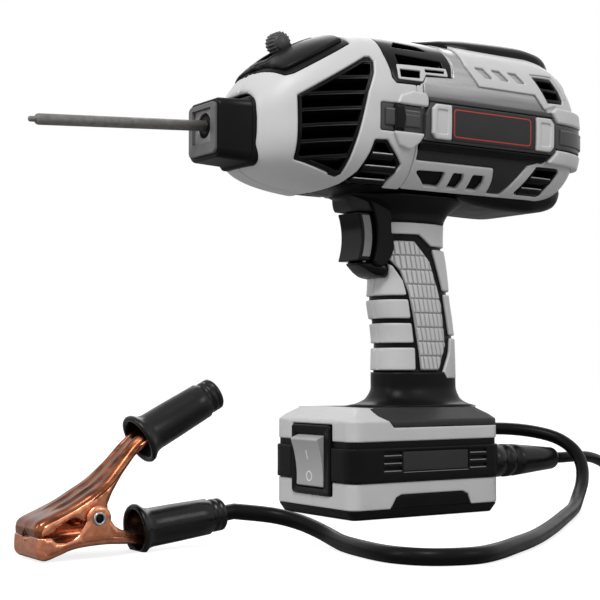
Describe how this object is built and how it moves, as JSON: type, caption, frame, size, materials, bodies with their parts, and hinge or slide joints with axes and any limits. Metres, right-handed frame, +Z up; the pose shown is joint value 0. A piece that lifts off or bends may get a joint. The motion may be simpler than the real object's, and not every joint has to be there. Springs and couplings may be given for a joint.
{
  "type": "handheld arc welding gun",
  "caption": "Pistol-shaped stick-electrode welding gun with vented body, grip trigger, boxy base with rocker switch, ground lead with spring clamp, and mains cord with plug.",
  "frame": {"origin": "centre of the base's foot, on the floor", "axes": "+X from the nose to the rear, +Y to the right-hand side, +Z up"},
  "size_m": [0.6045, 0.2654, 0.2994],
  "materials": {
    "pale_plastic": "satin",
    "black_plastic": "satin",
    "grey_plastic": "satin",
    "gloss_black": "gloss",
    "black_rubber": "satin",
    "steel": "satin",
    "copper_sheet": "satin copper plating",
    "electrode_coating": "matt",
    "board_green": "matt",
    "aluminium": "satin"
  },
  "bodies": {
    "gun": {"housing_left": "black_plastic", "housing_right": "black_plastic", "front_shell_left": "pale_plastic", "front_shell_right": "pale_plastic", "rear_shell_left": "pale_plastic", "rear_shell_right": "pale_plastic", "rear_sill_left": "pale_plastic", "rear_sill_right": "pale_plastic", "top_cover": "gloss_black", "front_panel": "gloss_black", "grille_left": "black_plastic", "grille_right": "black_plastic", "upper_vents": "black_plastic", "lower_vents": "black_plastic", "rear_vents": "black_plastic", "side_panels": "grey_plastic", "band_left": "gloss_black", "band_right": "gloss_black", "label_plates": "gloss_black", "brackets": "pale_plastic", "collars": "pale_plastic", "nose_block": "black_plastic", "nose_plate": "grey_plastic", "chuck_block": "steel", "slider_frame": "black_plastic", "finger_pads": "pale_plastic", "grip_panels": "pale_plastic", "back_pads": "pale_plastic", "grip_yoke": "pale_plastic", "base_lower": "pale_plastic", "base_band": "black_plastic", "base_upper": "pale_plastic", "base_deck": "grey_plastic", "foot": "black_plastic", "switch_bezel": "black_plastic", "mains_relief": "black_rubber", "ground_gland": "black_rubber", "ground_lead": "black_rubber", "mains_cord": "black_rubber", "mains_coil": "black_rubber", "plug_body": "black_rubber", "plug_pins": "steel", "lower_jaw": "copper_sheet", "clamp_rivet": "steel", "clamp_spring": "steel", "lower_boot": "black_rubber", "fan_frame": "black_plastic", "circuit_board": "board_green", "heatsink": "aluminium", "transformer": "steel"},
    "trigger_body": {"trigger": "black_plastic", "trigger_inlays": "grey_plastic"},
    "rocker_body": {"rocker": "grey_plastic"},
    "slider": {"slider_knob": "black_plastic"},
    "jaw": {"chuck_jaw": "steel"},
    "rod": {"electrode": "electrode_coating"},
    "clamp_arm": {"upper_jaw": "copper_sheet", "upper_boot": "black_rubber"},
    "fan": {"fan_rotor": "black_plastic"}
  },
  "joints": [
    {"name": "trigger_slide", "type": "slide", "parent": "gun", "child": "trigger_body", "axis": [1, 0, 0], "range_m": [0, 0.006], "stiffness_N_per_m": 600, "springref_m": -0.004},
    {"name": "rocker_hinge", "type": "hinge", "parent": "gun", "child": "rocker_body", "pos_m": [-0.054, 0, 0.033], "axis": [0, 1, 0], "range_deg": [0, 18.5]},
    {"name": "slider_slide", "type": "slide", "parent": "gun", "child": "slider", "axis": [0.8601, 0, 0.5102], "range_m": [0, 0.009]},
    {"name": "jaw_slide", "type": "slide", "parent": "gun", "child": "jaw", "axis": [0, 0, 1], "range_m": [0, 0.0015]},
    {"name": "electrode_slide", "type": "slide", "parent": "gun", "child": "rod", "axis": [-0.998, 0, -0.0628], "range_m": [0, 0.03]},
    {"name": "clamp_hinge", "type": "hinge", "parent": "gun", "child": "clamp_arm", "pos_m": [-0.242, -0.083, 0.0185], "axis": [0, 1, 0], "range_deg": [0, 18], "stiffness_Nm_per_rad": 1.2, "springref_deg": -17.19, "deforming": ["clamp_spring"]},
    {"name": "fan_spin", "type": "hinge", "parent": "gun", "child": "fan", "pos_m": [0.062, 0, 0.24025], "axis": [1, 0, 0], "continuous": true}
  ],
  "couplings": [
    {"joint": "jaw_slide", "follows": "slider_slide", "ratio": 0.16667}
  ]
}
